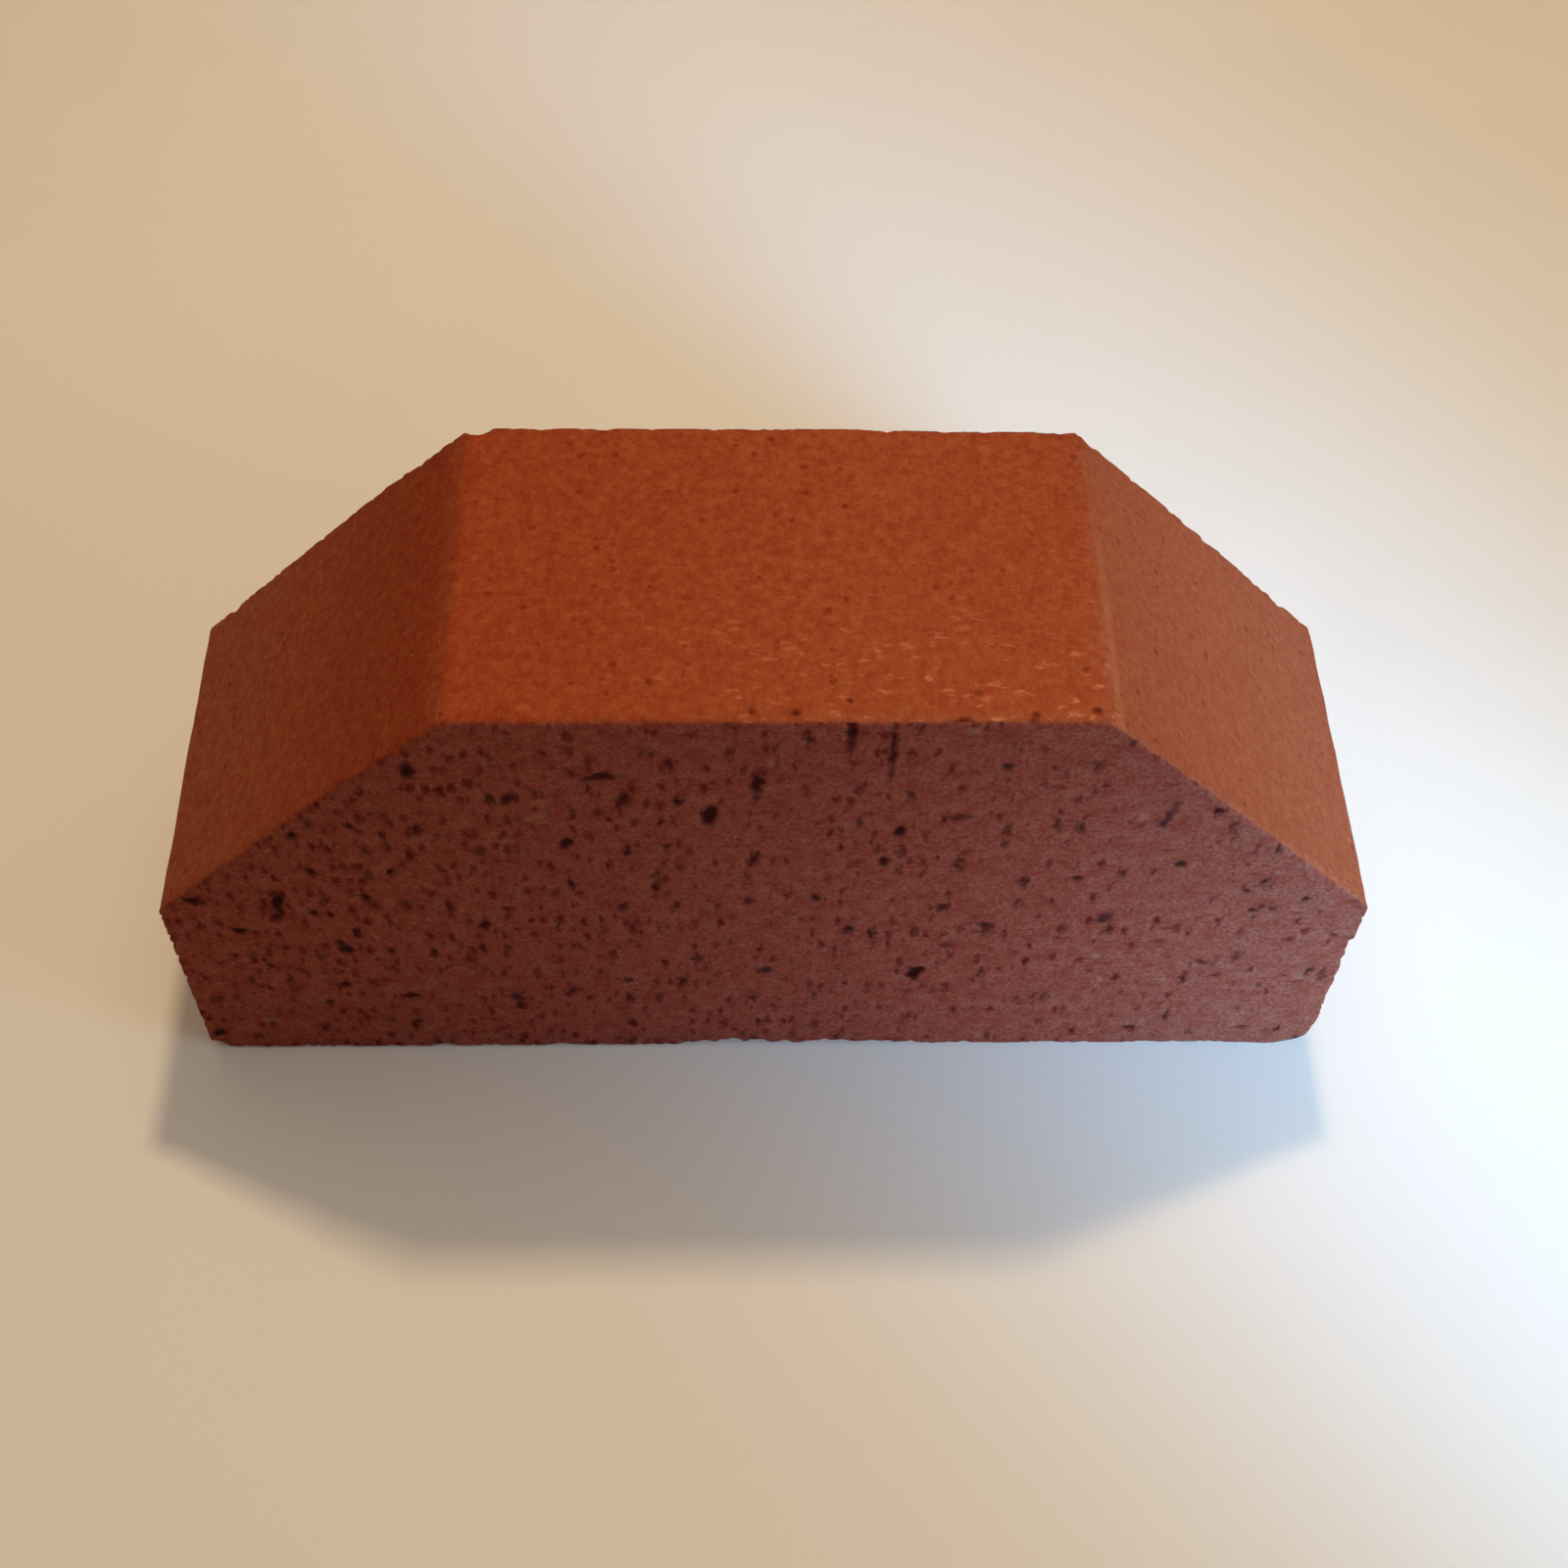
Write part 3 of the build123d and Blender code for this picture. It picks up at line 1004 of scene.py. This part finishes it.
class Bench:
    """Adds nodes to one node tree and joins them."""

    def __init__(self, tree: bpy.types.NodeTree) -> None:
        """Start on an empty tree."""
        self.tree = tree
        tree.nodes.clear()

    def add(self, kind: str, inputs: dict | None = None, **settings: object) -> bpy.types.Node:
        """Add one node.

        Args:
            kind: The node's type in Blender.
            inputs: For each input's name or number, a value or the socket that feeds it.
            **settings: The node's own settings.

        Returns:
            The node.
        """
        node = self.tree.nodes.new(kind)
        for name, value in settings.items():
            setattr(node, name, value)
        for name, value in (inputs or {}).items():
            if isinstance(value, Socket):
                self.tree.links.new(value, node.inputs[name])
            else:
                node.inputs[name].default_value = value
        return node

    def place(self) -> Socket:
        """Give the place on the object, in metres."""
        return self.add("ShaderNodeTexCoord").outputs["Object"]

    def field(self, name: str) -> Socket:
        """Read one of the mesh's fields."""
        return self.add("ShaderNodeAttribute", attribute_name=name).outputs["Fac"]

    def math(self, operation: str, *values: object) -> Socket:
        """Add a Math node on these values and give its result."""
        return self.add("ShaderNodeMath", dict(enumerate(values)), operation=operation).outputs[0]

    def vector(self, operation: str, first: object, second: object) -> Socket:
        """Add a Vector Math node and give its vector. SCALE takes a number second."""
        inputs = {0: first, (3 if operation == "SCALE" else 1): second}
        return self.add("ShaderNodeVectorMath", inputs, operation=operation).outputs[0]

    def ramp(self, value: object, low: float, high: float, start: float = 0, end: float = 1) -> Socket:
        """Add a smooth Map Range from low..high to start..end and give its result."""
        inputs = {"Value": value, "From Min": low, "From Max": high, "To Min": start, "To Max": end}
        node = self.add("ShaderNodeMapRange", inputs, interpolation_type="SMOOTHSTEP")
        return node.outputs["Result"]

    def between(self, share: object, low: float, high: float) -> Socket:
        """Carry a share of 0 to 1 onto low to high and give the result."""
        return self.math("MULTIPLY_ADD", share, high - low, low)

    def blend(self, share: object, below: object, above: object, kind: str = "MIX") -> Socket:
        """Mix two colours by a share and give the result."""
        inputs = {0: share, 6: below, 7: above}
        return self.add("ShaderNodeMix", inputs, data_type="RGBA", blend_type=kind).outputs[2]

    def noise(self, vector: object, scale: object, detail: float = 3, roughness: float = 0.55) -> Socket:
        """Add a Noise Texture and give its value, which lies about 0.5."""
        inputs = {"Vector": vector, "Scale": scale, "Detail": detail, "Roughness": roughness}
        return self.add("ShaderNodeTexNoise", inputs).outputs["Fac"]

    def mapping(self, vector: object, turn: Triple = (0, 0, 0), scale: Triple = (1, 1, 1)) -> Socket:
        """Turn and scale a vector and give the result."""
        inputs = {"Vector": vector, "Rotation": tuple(map(math.radians, turn)), "Scale": scale}
        return self.add("ShaderNodeMapping", inputs).outputs["Vector"]

    def tint(self, colour: object, tints: dict[str, Colour]) -> Socket:
        """Multiply a colour by each named field's tint, as far as the field says."""
        for name, tint in tints.items():
            colour = self.blend(self.field(name), colour, tint, "MULTIPLY")
        return colour

    def finish(self, inputs: dict) -> None:
        """Add the Principled shader with these inputs, and join it to the material's output."""
        shader = self.add("ShaderNodeBsdfPrincipled", inputs)
        self.add("ShaderNodeOutputMaterial", {"Surface": shader.outputs[0]})


class ShaderGroup:
    """A shader node group with named inputs and outputs, made once and placed where needed."""

    name = "group"
    inputs: dict[str, tuple[str, object]] = {}
    outputs: dict[str, str] = {}

    def __init__(self) -> None:
        """Make the group's tree, its sockets and its nodes."""
        self.tree = bpy.data.node_groups.new(self.name, "ShaderNodeTree")
        bench = Bench(self.tree)
        for name, (kind, value) in self.inputs.items():
            socket = self.tree.interface.new_socket(name, in_out="INPUT", socket_type=kind)
            if value is not None:
                socket.default_value = value
        for name, kind in self.outputs.items():
            self.tree.interface.new_socket(name, in_out="OUTPUT", socket_type=kind)
        given = bench.add("NodeGroupInput").outputs
        bench.add("NodeGroupOutput", self.wire(bench, given))

    def wire(self, bench: Bench, given: bpy.types.NodeOutputs) -> dict[str, Socket]:
        """Join the group's nodes.

        Args:
            bench: The group's bench.
            given: The group's inputs.

        Returns:
            For each output, the socket that feeds it.
        """
        raise NotImplementedError

    def place(self, bench: Bench, inputs: dict) -> Socket:
        """Place the group on a material's bench, with these inputs, and give its first output."""
        return bench.add("ShaderNodeGroup", inputs, node_tree=self.tree).outputs[0]


FLOAT, VECTOR, COLOUR = "NodeSocketFloat", "NodeSocketVector", "NodeSocketColor"


class Mottle(ShaderGroup):
    """Cloudy patches of three tones, with a fine grain over them that turns redder as it darkens."""

    name = "mottle"
    inputs = {
        "Vector": (VECTOR, None),
        "Dark": (COLOUR, (0, 0, 0, 1)),
        "Middle": (COLOUR, (0.5, 0.5, 0.5, 1)),
        "Light": (COLOUR, (1, 1, 1, 1)),
        "Patch Scale": (FLOAT, 180.0),
        "Grain Scale": (FLOAT, 1600.0),
        "Grain": (FLOAT, 0.3),
        "Red Share": (FLOAT, 0.45),
    }
    outputs = {"Color": COLOUR}

    def wire(self, bench: Bench, given: bpy.types.NodeOutputs) -> dict[str, Socket]:
        """Mix dark to middle to light by a cloud, then vary each channel by a grain.

        Green and blue take the whole of the grain, and red takes only its share of it.

        Args:
            bench: The group's bench.
            given: The group's inputs.

        Returns:
            The colour.
        """
        cloud = bench.noise(given["Vector"], given["Patch Scale"], detail=4, roughness=0.6)
        grain = bench.noise(given["Vector"], given["Grain Scale"], detail=2, roughness=0.6)
        to_middle, to_light = bench.ramp(cloud, low=0.32, high=0.52), bench.ramp(cloud, low=0.48, high=0.68)
        tone = bench.blend(to_light, bench.blend(to_middle, given["Dark"], given["Middle"]), given["Light"])
        swing = bench.math("MULTIPLY", bench.math("SUBTRACT", grain, 0.5), given["Grain"])
        change = bench.math("ADD", swing, 1.0)
        red = bench.math("MULTIPLY_ADD", swing, given["Red Share"], 1.0)
        shade = bench.add("ShaderNodeCombineColor", {0: red, 1: change, 2: change}).outputs[0]
        return {"Color": bench.blend(1.0, tone, shade, "MULTIPLY")}


class Specks(ShaderGroup):
    """Small scattered spots, one in some of the cells of a Voronoi pattern in space."""

    name = "specks"
    dimensions = "3D"
    jitter_scale = 900.0
    sizes = (0.5, 1.2)
    strengths = (0.6, 1.0)
    inputs = {
        "Vector": (VECTOR, None),
        "Scale": (FLOAT, 300.0),
        "Share": (FLOAT, 0.3),
        "Size": (FLOAT, 0.3),
        "Softness": (FLOAT, 0.12),
        "Waver": (FLOAT, 0.0008),
    }
    outputs = {"Mask": FLOAT}

    def wire(self, bench: Bench, given: bpy.types.NodeOutputs) -> dict[str, Socket]:
        """Keep a cell by its own random value, and fade its spot out at a random radius.

        A noise first moves the vector by up to half the waver, so that no spot is round. The
        cell's third random value makes some spots fainter.

        Args:
            bench: The group's bench.
            given: The group's inputs.

        Returns:
            The spots' mask.
        """
        inputs = {"Vector": given["Vector"], "Scale": self.jitter_scale, "Detail": 2.0}
        jitter = bench.add("ShaderNodeTexNoise", inputs).outputs["Color"]
        centred = bench.vector("SUBTRACT", jitter, (0.5, 0.5, 0.5))
        moved = bench.vector("ADD", given["Vector"], bench.vector("SCALE", centred, given["Waver"]))
        inputs = {"Vector": moved, "Scale": given["Scale"], "Randomness": 1.0}
        cell = bench.add("ShaderNodeTexVoronoi", inputs, voronoi_dimensions=self.dimensions)
        chance = bench.add("ShaderNodeSeparateColor", {0: cell.outputs["Color"]}).outputs
        kept = bench.math("LESS_THAN", chance[0], given["Share"])
        radius = bench.math("MULTIPLY", given["Size"], bench.between(chance[1], *self.sizes))
        inside = bench.math("SUBTRACT", radius, cell.outputs["Distance"])
        edge = bench.math("DIVIDE", inside, given["Softness"])
        soft = bench.add("ShaderNodeClamp", {"Value": edge}).outputs[0]
        strength = bench.between(chance[2], *self.strengths)
        return {"Mask": bench.math("MULTIPLY", bench.math("MULTIPLY", soft, kept), strength)}


class FlatSpecks(Specks):
    """The same spots in the vector's X and Y alone, for a flat face turned into that plane."""

    name = "flat_specks"
    dimensions = "2D"


class Drag(ShaderGroup):
    """Fine drawn lines, as a die or a cutting wire leaves in wet clay."""

    name = "drag"
    inputs = {"Vector": (VECTOR, None), "Scale": (FLOAT, 900.0)}
    outputs = {"Lines": FLOAT}

    def wire(self, bench: Bench, given: bpy.types.NodeOutputs) -> dict[str, Socket]:
        """Read noise along a vector that the material has already stretched along the lines."""
        return {"Lines": bench.noise(given["Vector"], given["Scale"], detail=3, roughness=0.65)}


@dataclass(frozen=True)
class Groups:
    """The shader node groups that the materials share."""

    mottle: Mottle = field(default_factory=Mottle)
    specks: Specks = field(default_factory=Specks)
    flat_specks: FlatSpecks = field(default_factory=FlatSpecks)
    drag: Drag = field(default_factory=Drag)


@dataclass(frozen=True, kw_only=True)
class Tones:
    """Three tones in patches, and the grain over them. The scales are per metre."""

    dark: Colour
    middle: Colour
    light: Colour
    patch_scale: float
    grain_scale: float
    grain: float
    red_share: float = 0.45

    def place(self, bench: Bench, groups: Groups, place: Socket) -> Socket:
        """Place the patches, each input from the field of the same name, and give their colour."""
        inputs = {name.replace("_", " ").title(): value for name, value in vars(self).items()}
        return groups.mottle.place(bench, {"Vector": place, **inputs})


@dataclass(frozen=True, kw_only=True)
class Layer:
    """One thing laid over the tones: its colour, how strongly it shows, and its rise as relief."""

    colour: Colour
    strength: float
    rise: float = 0.0

    @staticmethod
    def cover(bench: Bench, colour: Socket, *layers: tuple[Socket, "Layer"]) -> Socket:
        """Blend each layer's colour over the ones below, by its mask times its strength."""
        for mask, layer in layers:
            colour = bench.blend(bench.math("MULTIPLY", mask, layer.strength), colour, layer.colour)
        return colour

    @staticmethod
    def raise_by(bench: Bench, height: Socket, *layers: tuple[Socket, "Layer"]) -> Socket:
        """Add each layer's mask times its rise to a height."""
        for mask, layer in layers:
            height = bench.math("MULTIPLY_ADD", mask, layer.rise, height)
        return height


@dataclass(frozen=True, kw_only=True)
class Scatter(Layer):
    """Scattered spots. The vector is turned, in degrees, and scaled before they are placed."""

    scale: float
    share: float
    size: float
    softness: float
    waver: float
    turn: Triple = (0, 0, 0)
    stretch: Triple = (1, 1, 1)

    def mask(self, bench: Bench, group: Specks, place: Socket, thickness: object = 1.0) -> Socket:
        """Place the spots.

        Args:
            bench: The material's bench.
            group: The node group, in space or flat.
            place: The place on the object.
            thickness: What the share of cells with a spot is multiplied by.

        Returns:
            The spots' mask.
        """
        inputs = {name.title(): getattr(self, name) for name in ("scale", "size", "softness", "waver")}
        inputs["Vector"] = bench.mapping(place, self.turn, self.stretch)
        inputs["Share"] = bench.math("MULTIPLY", thickness, self.share)
        return group.place(bench, inputs)


@dataclass(frozen=True, kw_only=True)
class Lines(Layer):
    """Drawn lines. They show where their noise is low, and fade out from low to high."""

    scale: float
    turn: Triple = (0, 0, 0)
    stretch: Triple
    low: float = 0.30
    high: float = 0.60

    def read(self, bench: Bench, groups: Groups, place: Socket) -> Socket:
        """Place the lines' noise and give its value."""
        vector = bench.mapping(place, self.turn, self.stretch)
        return groups.drag.place(bench, {"Vector": vector, "Scale": self.scale})

    def mask(self, bench: Bench, lines: Socket) -> Socket:
        """Give 1 where the noise is low and 0 where it is high."""
        return bench.ramp(lines, self.low, self.high, 1, 0)


@dataclass(frozen=True, kw_only=True)
class Marks(Layer):
    """The spots of one tint. They fade in from the rim to the core, in millimetres outside."""

    tint: Tint
    rim: float = 0.60
    core: float = -0.55

    def mask(self, bench: Bench) -> Socket:
        """Give the spots' mask from the tint's field."""
        return bench.ramp(bench.field(self.tint.value), self.rim, self.core)


# Pale clay of scuffs and fleck marks, partly a painted glint and highlight.
FLECK_AND_GLINT = linear(194, 120, 82)
DOT = linear(98, 24, 10)
MAROON = linear(80, 8, 8)
IRON = linear(42, 6, 8)
GRIT = linear(164, 126, 88)


@dataclass(frozen=True)
class SkinFinish:
    """The smooth orange-red skin that the die left. Its tints of painted shade lie over its tones, each by a
    field.
    """

    tones: Tones = Tones(
        dark=linear(148, 63, 35), middle=linear(155, 73, 40), light=linear(162, 84, 48),
        patch_scale=560.0, grain_scale=1700.0, grain=1.0,
    )
    # Painted warm shade at the top's left and high on the left cant.
    ruddy: Colour = (0.86, 0.60, 0.48, 1.0)
    # Painted cool shade on both cants.
    dull: Colour = (0.80, 0.93, 1.25, 1.0)
    # Paling by scuffing, and by painted light on the right cant and a painted highlight by the right crease.
    scuff: Layer = Layer(colour=FLECK_AND_GLINT, strength=0.10)
    lines: Lines = Lines(
        colour=DOT, strength=0.16, rise=0.6, scale=1100.0, turn=(0, 0, 48), stretch=(1, 0.30, 0.30)
    )
    # Pale raised drag marks, their paleness partly a painted glint on the ridges.
    flecks: Scatter = Scatter(
        colour=FLECK_AND_GLINT, strength=0.62, rise=0.5, scale=780.0, share=0.52, size=0.44, softness=0.26,
        waver=0.0022, turn=(0, 0, -20), stretch=(0.42, 1, 1),
    )
    dots: Scatter = Scatter(
        colour=DOT, strength=0.55, rise=-0.7, scale=340.0, share=0.34, size=0.25, softness=0.10,
        waver=0.0010,
    )
    # Painted shade of the small pits on the top, over the broken clay's own darker colour.
    pocks: Marks = Marks(
        tint=Tint.POCK, colour=linear(74, 12, 8), strength=0.85, rim=0.45, core=-0.45
    )
    grain_rise: float = 1.1
    roughness: float = 0.72

    def lay(self, bench: Bench, groups: Groups, place: Socket, grain: Socket) -> tuple[Socket, Socket]:
        """Lay the skin's colour and relief.

        Args:
            bench: The material's bench.
            groups: The shader node groups.
            place: The place on the object.
            grain: The fine grain of the relief.

        Returns:
            The colour and the height.
        """
        lines = self.lines.read(bench, groups, place)
        flecks = self.flecks.mask(bench, groups.specks, place)
        dots = self.dots.mask(bench, groups.specks, place)
        tone = self.tones.place(bench, groups, place)
        colour = Layer.cover(
            bench,
            bench.tint(tone, {"ruddy": self.ruddy, "dull": self.dull}),
            (bench.field("scuff"), self.scuff),
            (self.lines.mask(bench, lines), self.lines),
            (bench.math("MULTIPLY", flecks, bench.field("flecked_and_glinting")), self.flecks),
            (dots, self.dots),
            (self.pocks.mask(bench), self.pocks),
        )
        height = bench.math("MULTIPLY", grain, self.grain_rise)
        relief = (lines, self.lines), (flecks, self.flecks), (dots, self.dots)
        return colour, Layer.raise_by(bench, height, *relief)


@dataclass(frozen=True)
class CutFinish:
    """The purple-brown cut face, with iron spots. Its tint of painted cool light lies over its tones by a
    field.

    The faces stand upright, so the flat spots' vector is turned by a quarter about X. The
    stretches make the spots taller than wide, and the streaks wider than tall.
    """

    tones: Tones = Tones(
        dark=linear(129, 56, 42), middle=linear(134, 65, 50), light=linear(140, 74, 58),
        patch_scale=280.0, grain_scale=1200.0, grain=2.3, red_share=0.25,
    )
    # Painted cool light towards the right of the cut face.
    dusty: Colour = (0.88, 1.14, 1.26, 1.0)
    lines: Lines = Lines(colour=MAROON, strength=0.06, rise=0.4, scale=1300.0, stretch=(0.12, 1, 1))
    pale: Scatter = Scatter(
        colour=GRIT, strength=0.35, scale=240.0, share=0.05, size=0.19, softness=0.18,
        waver=0.0016, turn=(90, 0, 0), stretch=(1, 1, 0.52),
    )
    streaks: Scatter = Scatter(
        colour=MAROON, strength=0.60, scale=330.0, share=0.34, size=0.19, softness=0.16,
        waver=0.0012, turn=(90, 0, 4), stretch=(0.36, 1, 0.75),
    )
    small: Scatter = Scatter(
        colour=MAROON, strength=0.90, scale=420.0, share=0.60, size=0.37, softness=0.30,
        waver=0.0018, turn=(90, 0, 0), stretch=(1, 1, 0.52),
    )
    bold: Scatter = Scatter(
        colour=IRON, strength=0.92, scale=230.0, share=0.56, size=0.27, softness=0.24,
        waver=0.0026, turn=(90, 0, 0), stretch=(1, 1, 0.52),
    )
    iron: Marks = Marks(tint=Tint.IRON, colour=IRON, strength=0.94, rise=-1.0)
    slate: Marks = Marks(tint=Tint.SLATE, colour=linear(42, 20, 28), strength=0.85)
    grit: Marks = Marks(tint=Tint.GRIT, colour=GRIT, strength=0.34, core=-0.45)
    grain_rise: float = 1.2
    roughness: float = 0.85

    def lay(self, bench: Bench, groups: Groups, place: Socket, grain: Socket) -> tuple[Socket, Socket]:
        """Lay the cut face's colour and relief.

        Args:
            bench: The material's bench.
            groups: The shader node groups.
            place: The place on the object.
            grain: The fine grain of the relief.

        Returns:
            The colour and the height.
        """
        flat, pepper = groups.flat_specks, bench.field("pepper")
        lines = self.lines.read(bench, groups, place)
        small = self.small.mask(bench, flat, place, thickness=pepper)
        bold = self.bold.mask(bench, flat, place, thickness=pepper)
        iron = self.iron.mask(bench)
        colour = Layer.cover(
            bench,
            bench.tint(self.tones.place(bench, groups, place), {"dusty": self.dusty}),
            (self.lines.mask(bench, lines), self.lines),
            (self.pale.mask(bench, flat, place), self.pale),
            (self.streaks.mask(bench, flat, place), self.streaks),
            (small, self.small),
            (bold, self.bold),
            (iron, self.iron),
            (self.slate.mask(bench), self.slate),
            (self.grit.mask(bench), self.grit),
        )
        pits = bench.math("MAXIMUM", bench.math("MAXIMUM", small, bold), iron)
        height = bench.math("MULTIPLY", grain, self.grain_rise)
        return colour, Layer.raise_by(bench, height, (lines, self.lines), (pits, self.iron))


def start_material(name: str) -> tuple[bpy.types.Material, Bench]:
    """Make an empty node material and a bench on it."""
    material = bpy.data.materials.new(name)
    material.use_nodes = True
    return material, Bench(material.node_tree)


@dataclass(frozen=True)
class ClayFinish:
    """The whole brick's material: skin, cut faces and broken clay in one.

    The shake moves the skin's rim to and fro, and the rim fades over twice its width, both in
    millimetres. Clay shows as broken from the first depth of its two and wholly at the second.
    """

    skin: SkinFinish = SkinFinish()
    cut: CutFinish = CutFinish()
    shake_scale: float = 700.0
    shake: float = 0.75
    rim_width: float = 0.25
    broken_depths: tuple[float, float] = (0.15, 0.7)
    grain_scale: float = 1800.0
    relief: float = 0.45
    relief_height: float = 0.0003
    gloss: float = 0.04
    ior: float = 1.45

    def make(self, groups: Groups) -> bpy.types.Material:
        """Make the material.

        The skin gives way to the cut face where the rim field, shaken by a noise, passes 0,
        and to the cut face's colours again where clay has broken off.

        Args:
            groups: The shader node groups.

        Returns:
            The material.
        """
        material, bench = start_material("fired_clay_brick")
        place = bench.place()
        grain = bench.noise(place, self.grain_scale, detail=3, roughness=0.6)
        skin_colour, skin_height = self.skin.lay(bench, groups, place, grain)
        cut_colour, cut_height = self.cut.lay(bench, groups, place, grain)

        shake = bench.between(bench.noise(place, self.shake_scale), -self.shake, self.shake)
        rim = bench.math("ADD", bench.field("rim"), shake)
        on_cut = bench.ramp(rim, -self.rim_width, self.rim_width)
        broken = bench.ramp(bench.field("broken"), *self.broken_depths)
        raw = bench.math("MAXIMUM", on_cut, broken)
        height = bench.add("ShaderNodeMix", {0: raw, 2: skin_height, 3: cut_height}).outputs[0]
        relief = {"Height": height, "Distance": self.relief_height, "Strength": self.relief}
        bench.finish(
            {
                "Base Color": bench.blend(raw, skin_colour, cut_colour),
                "Roughness": bench.ramp(raw, 0, 1, self.skin.roughness, self.cut.roughness),
                "Normal": bench.add("ShaderNodeBump", relief).outputs[0],
                "IOR": self.ior,
                "Specular IOR Level": self.gloss,
            }
        )
        return material


@dataclass(frozen=True)
class FloorFinish:
    """The plain pale floor: two near tones in broad soft patches."""

    tones: Tones = Tones(
        dark=linear(232, 229, 223), middle=linear(235, 232, 226), light=linear(235, 232, 226),
        patch_scale=5.0, grain_scale=900.0, grain=0.02,
    )
    roughness: float = 0.9
    gloss: float = 0.1

    def make(self, groups: Groups) -> bpy.types.Material:
        """Make the floor's material from the shader node groups."""
        material, bench = start_material("pale_floor")
        tone = self.tones.place(bench, groups, bench.place())
        bench.finish({"Base Color": tone, "Roughness": self.roughness, "Specular IOR Level": self.gloss})
        return material


@dataclass(frozen=True)
class Lamp:
    """A square soft lamp, in millimetres and watts, with the angle that it throws in degrees."""

    name: str
    place: Triple
    aim: Triple
    size: float
    power: float
    colour: Triple
    spread: float = 180.0

    def make(self) -> bpy.types.Object:
        """Make the lamp, turned so that its -Z looks at its aim.

        Returns:
            The lamp's object.
        """
        data = bpy.data.lights.new(self.name, "AREA")
        data.shape = "SQUARE"
        data.size = self.size * METRES
        data.energy = self.power
        data.color = self.colour
        data.spread = math.radians(self.spread)
        lamp = bpy.data.objects.new(self.name, data)
        back = Vector(self.place) - Vector(self.aim)
        turn = back.to_track_quat("Z", "Y").to_matrix().to_4x4()
        lamp.matrix_world = Matrix.Translation(Vector(self.place) * METRES) @ turn
        lamp.visible_camera = False
        bpy.context.scene.collection.objects.link(lamp)
        return lamp


@dataclass
class Studio:
    """The floor, the lamps and the sky round the brick."""

    floor_size: float = 8000.0
    sky: Colour = (1.0, 0.70, 0.47, 1.0)
    sky_strength: float = 0.213
    lamps: tuple[Lamp, ...] = (
        Lamp("key", (90, 420, 1150), (0, 0, 40), 95.0, 5.6, (1.0, 0.73, 0.43)),
        Lamp("overhead", (0, 5, 900), (0, 0, 0), 700.0, 1.75, (1.0, 0.85, 0.66)),
        Lamp("right", (620, -330, 330), (90, -30, 30), 300.0, 0.33, (0.51, 0.79, 1.0), 90.0),
        Lamp("right_low", (330, -300, 130), (150, -32, 30), 150.0, 0.25, (0.34, 0.64, 1.0), 34.0),
    )

    def make_floor(self, material: bpy.types.Material) -> bpy.types.Object:
        """Make the floor as a square of four points at Z 0.

        Args:
            material: The floor's material.

        Returns:
            The floor's object.
        """
        half = self.floor_size / 2 * METRES
        corners = [(-half, -half, 0), (half, -half, 0), (half, half, 0), (-half, half, 0)]
        mesh = bpy.data.meshes.new("floor")
        mesh.from_pydata(corners, [], [(0, 1, 2, 3)])
        floor = bpy.data.objects.new("floor", mesh)
        bpy.context.scene.collection.objects.link(floor)
        floor.data.materials.append(material)
        return floor

    def light(self) -> None:
        """Make the lamps, and a plain sky of one colour."""
        for lamp in self.lamps:
            lamp.make()
        world = bpy.data.worlds.new("sky")
        world.use_nodes = True
        bench = Bench(world.node_tree)
        background = bench.add(
            "ShaderNodeBackground", {"Color": self.sky, "Strength": self.sky_strength}
        )
        bench.add("ShaderNodeOutputWorld", {"Surface": background.outputs[0]})
        bpy.context.scene.world = world


def main() -> None:
    """Build the brick, its finish and the studio, in order."""
    logging.basicConfig(level=logging.INFO, format="%(name)s: %(message)s")
    bpy.context.scene.view_settings.view_transform = "Standard"
    low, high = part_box(NODE)
    length, course, width = [round((b - a) / METRES, 3) for a, b in zip(low, high)]
    view = Viewpoint()
    view.make()
    groups = Groups()
    brick = BrickBody(length=length, width=width, course=course).build(view)
    brick.data.materials.append(ClayFinish().make(groups))
    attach(brick, BODY)
    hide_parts(NODE)
    LOG.info("brick dressed")
    studio = Studio()
    studio.make_floor(FloorFinish().make(groups))
    studio.light()
    LOG.info("floor and lamps made")


if __name__ == "__main__":
    main()
